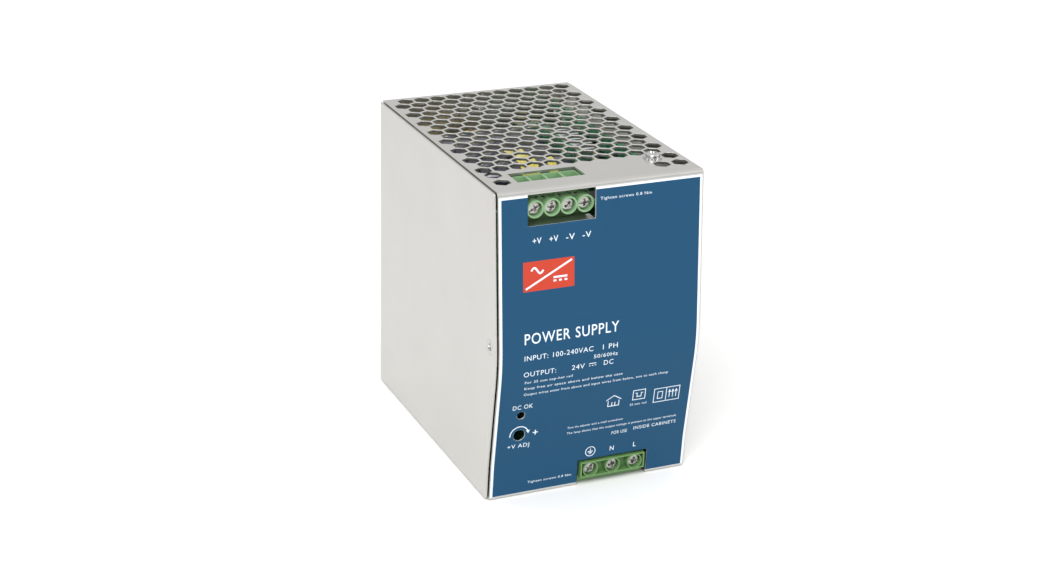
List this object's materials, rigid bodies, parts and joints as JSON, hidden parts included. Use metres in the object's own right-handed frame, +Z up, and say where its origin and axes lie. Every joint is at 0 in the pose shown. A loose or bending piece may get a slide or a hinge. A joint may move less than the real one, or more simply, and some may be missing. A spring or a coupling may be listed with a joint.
{
  "type": "din rail power supply",
  "caption": "Tall sheet-metal power supply for rail mounting, with a perforated top, a bowed label front, screw terminals at top and bottom, and a sprung rail latch behind.",
  "frame": {"origin": "middle of the bounding box in plan, on the surface the case stands on", "axes": "+Z up, front faces -Y, rail clip at +Y, +X to the right as seen from the front"},
  "size_m": [0.0856, 0.1284, 0.1274],
  "materials": {
    "bare_steel": "bright satin sheet steel, softly brushed",
    "cover_steel": "satin sheet metal, soft reflections",
    "label_print": "satin printed polyester, blue with a pale border",
    "screw_steel": "nickel-plated steel",
    "clip_steel": "zinc-plated steel",
    "spring_steel": "bright spring wire",
    "terminal_green": "slightly glossy green moulded polyamide",
    "clamp_steel": "zinc-plated steel",
    "tinned_copper": "tinned copper alloy",
    "adjuster_blue": "blue moulded plastic",
    "brass_part": "turned brass",
    "lamp_resin": "diffusing epoxy resin",
    "circuit_board": "green solder mask over glass-fibre laminate",
    "insulating_film": "translucent film",
    "heatsink_aluminium": "mill-finish aluminium",
    "device_epoxy": "black epoxy",
    "ferrite": "dark grey ferrite",
    "bobbin_black": "black phenolic moulding",
    "yellow_tape": "yellow polyester tape",
    "capacitor_sleeve": "shrink sleeve",
    "core_yellow": "coated powder core",
    "core_green": "coated ferrite core",
    "enamelled_copper": "enamelled copper wire",
    "film_box": "moulded capacitor box",
    "ceramic": "white ceramic with metal caps",
    "disc_blue": "blue epoxy dip",
    "nylon": "natural nylon",
    "label_border": "pale satin print round the label",
    "label_field": "blue satin print",
    "label_marks": "white print",
    "label_badge": "orange-red print"
  },
  "bodies": {
    "case": {"front_chassis": "bare_steel", "rear_cover": "cover_steel", "front_label": "label_print", "case_screws": "screw_steel", "top_screw": "screw_steel", "top_washer": "screw_steel", "rail_bracket": "clip_steel", "latch_spring": "spring_steel", "latch_straps": "clip_steel", "clip_rivets": "screw_steel", "output_terminal_housing": "terminal_green", "output_contacts": "tinned_copper", "input_terminal_housing": "terminal_green", "input_contacts": "tinned_copper", "adjuster_body": "adjuster_blue", "status_lamp": "lamp_resin", "main_board": "circuit_board", "front_board": "circuit_board", "filter_board": "circuit_board", "insulation_sheet": "insulating_film", "board_standoffs": "brass_part", "board_screws": "screw_steel", "primary_heatsink": "heatsink_aluminium", "secondary_heatsink": "heatsink_aluminium", "power_transistors": "device_epoxy", "output_rectifiers": "device_epoxy", "bridge_rectifier": "device_epoxy", "heatsink_screws": "screw_steel", "transformer_core": "ferrite", "transformer_bobbin": "bobbin_black", "transformer_winding": "yellow_tape", "bulk_capacitors": "capacitor_sleeve", "output_capacitors": "capacitor_sleeve", "boost_choke_core": "core_yellow", "boost_choke_winding": "enamelled_copper", "line_choke_cores": "core_green", "line_choke_windings": "enamelled_copper", "output_choke": "enamelled_copper", "suppression_capacitors": "film_box", "inlet_fuse": "ceramic", "varistor": "disc_blue", "board_connectors": "nylon"},
    "output_screw_1": {"output_screw_1": "clamp_steel"},
    "output_screw_2": {"output_screw_2": "clamp_steel"},
    "output_screw_3": {"output_screw_3": "clamp_steel"},
    "output_screw_4": {"output_screw_4": "clamp_steel"},
    "output_cage_1": {"output_cage_1": "clamp_steel"},
    "output_cage_2": {"output_cage_2": "clamp_steel"},
    "output_cage_3": {"output_cage_3": "clamp_steel"},
    "output_cage_4": {"output_cage_4": "clamp_steel"},
    "input_screw_1": {"input_screw_1": "clamp_steel"},
    "input_screw_2": {"input_screw_2": "clamp_steel"},
    "input_screw_3": {"input_screw_3": "clamp_steel"},
    "input_cage_1": {"input_cage_1": "clamp_steel"},
    "input_cage_2": {"input_cage_2": "clamp_steel"},
    "input_cage_3": {"input_cage_3": "clamp_steel"},
    "rail_latch": {"rail_latch": "clip_steel"},
    "adjuster_rotor": {"adjuster_rotor": "brass_part"}
  },
  "joints": [
    {"name": "output_screw_1_turn", "type": "hinge", "parent": "case", "child": "output_screw_1", "pos_m": [-0.02645, -0.05507, 0.1171], "axis": [0, 1, 0], "range_deg": [0, 2952.5]},
    {"name": "output_cage_1_slide", "type": "slide", "parent": "case", "child": "output_cage_1", "axis": [0, -1, 0], "range_m": [0, 0.0041]},
    {"name": "output_screw_2_turn", "type": "hinge", "parent": "case", "child": "output_screw_2", "pos_m": [-0.01975, -0.05507, 0.1171], "axis": [0, 1, 0], "range_deg": [0, 2952.5]},
    {"name": "output_cage_2_slide", "type": "slide", "parent": "case", "child": "output_cage_2", "axis": [0, -1, 0], "range_m": [0, 0.0041]},
    {"name": "output_screw_3_turn", "type": "hinge", "parent": "case", "child": "output_screw_3", "pos_m": [-0.01305, -0.05507, 0.1171], "axis": [0, 1, 0], "range_deg": [0, 2952.5]},
    {"name": "output_cage_3_slide", "type": "slide", "parent": "case", "child": "output_cage_3", "axis": [0, -1, 0], "range_m": [0, 0.0041]},
    {"name": "output_screw_4_turn", "type": "hinge", "parent": "case", "child": "output_screw_4", "pos_m": [-0.00635, -0.05507, 0.1171], "axis": [0, 1, 0], "range_deg": [0, 2952.5]},
    {"name": "output_cage_4_slide", "type": "slide", "parent": "case", "child": "output_cage_4", "axis": [0, -1, 0], "range_m": [0, 0.0041]},
    {"name": "input_screw_1_turn", "type": "hinge", "parent": "case", "child": "input_screw_1", "pos_m": [0.0004, -0.05507, 0.0067], "axis": [0, 1, 0], "range_deg": [0, 2952.5]},
    {"name": "input_cage_1_slide", "type": "slide", "parent": "case", "child": "input_cage_1", "axis": [0, -1, 0], "range_m": [0, 0.0041]},
    {"name": "input_screw_2_turn", "type": "hinge", "parent": "case", "child": "input_screw_2", "pos_m": [0.0099, -0.05507, 0.0067], "axis": [0, 1, 0], "range_deg": [0, 2952.5]},
    {"name": "input_cage_2_slide", "type": "slide", "parent": "case", "child": "input_cage_2", "axis": [0, -1, 0], "range_m": [0, 0.0041]},
    {"name": "input_screw_3_turn", "type": "hinge", "parent": "case", "child": "input_screw_3", "pos_m": [0.0194, -0.05507, 0.0067], "axis": [0, 1, 0], "range_deg": [0, 2952.5]},
    {"name": "input_cage_3_slide", "type": "slide", "parent": "case", "child": "input_cage_3", "axis": [0, -1, 0], "range_m": [0, 0.0041]},
    {"name": "adjuster_turn", "type": "hinge", "parent": "case", "child": "adjuster_rotor", "pos_m": [-0.0312, -0.04807, 0.0275], "axis": [0, 1, 0], "range_deg": [-130, 130]},
    {"name": "latch_slide", "type": "slide", "parent": "case", "child": "rail_latch", "axis": [0, 0, -1], "range_m": [0, 0.004], "stiffness_N_per_m": 1500, "springref_m": -0.004, "deforming": ["latch_spring"]}
  ],
  "couplings": [
    {"joint": "output_screw_1_turn", "follows": "output_cage_1_slide", "rad_per_m": 12566},
    {"joint": "output_screw_2_turn", "follows": "output_cage_2_slide", "rad_per_m": 12566},
    {"joint": "output_screw_3_turn", "follows": "output_cage_3_slide", "rad_per_m": 12566},
    {"joint": "output_screw_4_turn", "follows": "output_cage_4_slide", "rad_per_m": 12566},
    {"joint": "input_screw_1_turn", "follows": "input_cage_1_slide", "rad_per_m": 12566},
    {"joint": "input_screw_2_turn", "follows": "input_cage_2_slide", "rad_per_m": 12566},
    {"joint": "input_screw_3_turn", "follows": "input_cage_3_slide", "rad_per_m": 12566}
  ]
}
